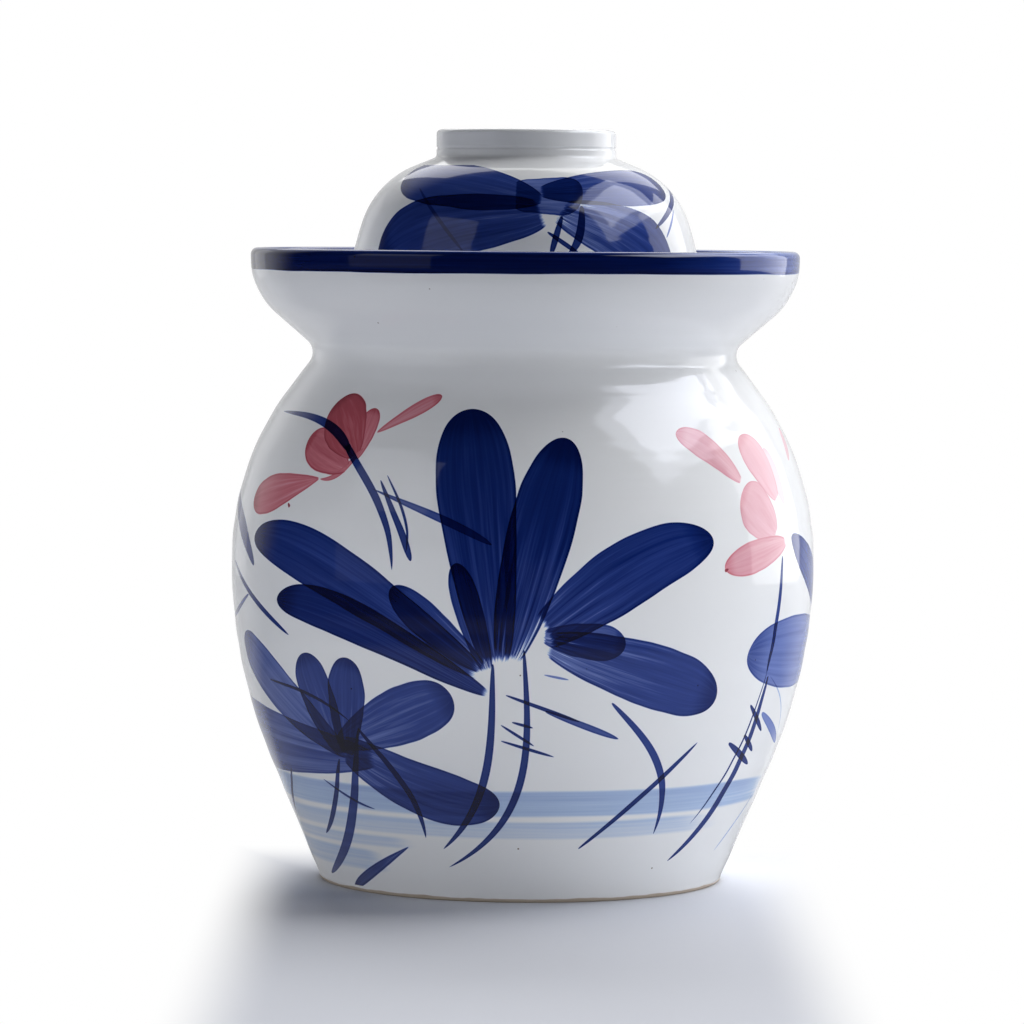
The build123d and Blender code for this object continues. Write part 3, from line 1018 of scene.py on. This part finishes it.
def dress_lid(piece):
    sectors = 16
    heights = (0, total_height)
    painted_patches(piece, "painted_lid", lid_paper, sectors, heights)
    piece.data.materials.append(glazed("plain_lid_glaze", lid_paper))
    for face in piece.data.polygons:
        middle = face.center
        outside = hypot(middle.x, middle.y) > radius_at(lid_paper, middle.z) - lid_wall / 2
        below_knob = middle.z < crown_end[1]
        face.material_index = patch_of(middle, sectors, heights) if outside and below_knob else sectors


# Pieces

pot = turn_piece("pot", pot_outline())
outer_lid = turn_piece("bowl_lid", outer_lid_outline())
inner_lid = turn_piece("flat_lid", inner_lid_outline())
dress_pot(pot)
dress_lid(outer_lid)
inner_lid.data.materials.append(glazed("inner_lid_glaze", pot_paper))
for piece, node in ((pot, "jar"), (outer_lid, "outer_lid"), (inner_lid, "inner_lid")):
    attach(piece, node)
    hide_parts(node)


# Floor, light and camera

middle_height = (0, 0, 0.14)
cool = (0.86, 0.89, 1.0)

# How far back a mirrored ray points where the white backdrop comes in, and how bright it is there
white_behind = (0.35, 0.75)
mirrored_white = 0.65
mirrored_dark = 0.01
grey_around = 0.02

# Where the shadow on the floor fades to white: to the sides, behind the axis and ahead of it
shadow_sides = (0.081, 0.119)
shadow_behind = (0.0, 0.10)
shadow_ahead = (-0.40, -0.62)

# The floor's grey, and what the glaze mirrors of it: dark, but paler from so near to so far
floor_grey = (0.70, 0.72, 0.78, 1)
floor_in_glaze = (0.03, 0.03, 0.035, 1)
white_near = (0.3, 0.6, 0.3, 0.0)


def flat_lamp(name, place, width, height, radiance, colour=(1, 1, 1), aim=middle_height):
    """A softbox of a given brightness: its power follows from its size."""
    lamp_data = bpy.data.lights.new(name, "AREA")
    lamp_data.shape = "RECTANGLE"
    lamp_data.size, lamp_data.size_y = width, height
    lamp_data.energy = radiance * width * height * pi
    lamp_data.color = colour
    lamp = bpy.data.objects.new(name, lamp_data)
    lamp.location = place
    lamp.rotation_euler = (Vector(aim) - Vector(place)).to_track_quat("-Z", "Y").to_euler()
    bpy.context.collection.objects.link(lamp)
    return lamp


def make_world():
    """White behind the object, for the camera and in its glaze, and a plain grey for the rest."""
    world = bpy.data.worlds.new("studio")
    bpy.context.scene.world = world
    world.use_nodes = True
    wire = Wiring(world.node_tree)
    background = world.node_tree.nodes["Background"]
    backward = wire.split(wire.add("TexCoord").outputs["Generated"])["Y"]
    ray = wire.add("LightPath").outputs
    mirrored = wire.fade(backward, *white_behind, mirrored_dark, mirrored_white)
    other = wire.minus(1.0, ray["Is Glossy Ray"])
    strength = wire.times_plus(mirrored, ray["Is Glossy Ray"], wire.times(other, grey_around))
    strength = wire.larger(strength, ray["Is Camera Ray"])
    wire.feed(background, {"Color": (1, 1, 1, 1), "Strength": strength})


def make_floor():
    """A pale floor that keeps the shadow near the object and goes to white away from it."""
    floor = new_plane("floor", 8, (0, 1.0, 0))
    paint, wire, surface = open_material("studio_floor")
    place = wire.add("TexCoord").outputs["Object"]
    across, back, _ = wire.split(place)
    aside = wire.fade(wire.math("ABSOLUTE", across), *shadow_sides)
    behind = wire.fade(back, *shadow_behind)
    ahead = wire.fade(back, *shadow_ahead)
    away = wire.larger(aside, behind, ahead)
    ray = wire.add("LightPath").outputs
    colour = wire.blend(ray["Is Glossy Ray"], floor_grey, floor_in_glaze)
    wire.feed(surface, {"Base Color": colour, "Roughness": 0.9})
    white = wire.add("Emission")
    reach = wire.feed(wire.add("VectorMath", operation="LENGTH"), {0: place}).outputs["Value"]
    near = wire.fade(reach, *white_near)
    lit = wire.larger(near, wire.fade(wire.math("DIVIDE", back, reach), *white_behind, 0.0, mirrored_white))
    glow = wire.times_plus(away, ray["Is Camera Ray"], wire.times(lit, ray["Is Glossy Ray"]))
    mixed = wire.feed(wire.add("MixShader"), {0: glow, 1: surface.outputs[0], 2: white.outputs[0]})
    wire.feed(paint.node_tree.nodes["Material Output"], {"Surface": mixed.outputs[0]})
    floor.data.materials.append(paint)


make_world()
make_floor()
flat_lamp("right_softbox", (1.4, 0.75, 0.5), 1.2, 1.3, 1.8)
# Two that only show as reflections in the glaze
shine = flat_lamp("high_right_shine", (1.14, 0.04, 1.38), 1.35, 0.7, 3.3, cool)
halo = flat_lamp("high_right_halo", (1.19, 0.04, 1.43), 1.9, 1.1, 2.5, cool)
shine.visible_diffuse = halo.visible_diffuse = False
flat_lamp("left_softbox", (-0.9, 1.3, 0.3), 0.45, 1.0, 0.3)
flat_lamp("left_window_low", (-1.38, -0.89, 0.36), 1.14, 0.68, 0.18, cool)
flat_lamp("left_window_high", (-1.38, -0.89, 1.05), 1.14, 0.7, 0.65, cool)
flat_lamp("back_softbox", (0.1, 2.0, 2.0), 2.4, 1.6, 1.6)
# Fills from above, behind and the sides, and a low narrow beam on the belly: the glaze mirrors none
high_fill = flat_lamp("high_right_fill", (0.82, 0.32, 1.45), 1.0, 0.7, 6.7)
back_fill = flat_lamp("back_fill", (0.1, 2.0, 2.0), 2.4, 1.6, 4.6)
right_fill = flat_lamp("right_fill", (2.6, -0.4, 0.6), 1.2, 1.0, 5.6)
left_fill = flat_lamp("left_fill", (-2.6, -0.4, 0.6), 1.2, 1.0, 2.7)
belly_fill = flat_lamp("belly_fill", (0.15, -1.1, 0.07), 1.3, 0.1, 0.56, aim=(0, 0, 0.10))
belly_fill.data.spread = radians(22)
for fill in (high_fill, back_fill, right_fill, left_fill, belly_fill):
    fill.visible_glossy = False
make_camera()
bpy.context.scene.view_settings.view_transform = "Standard"
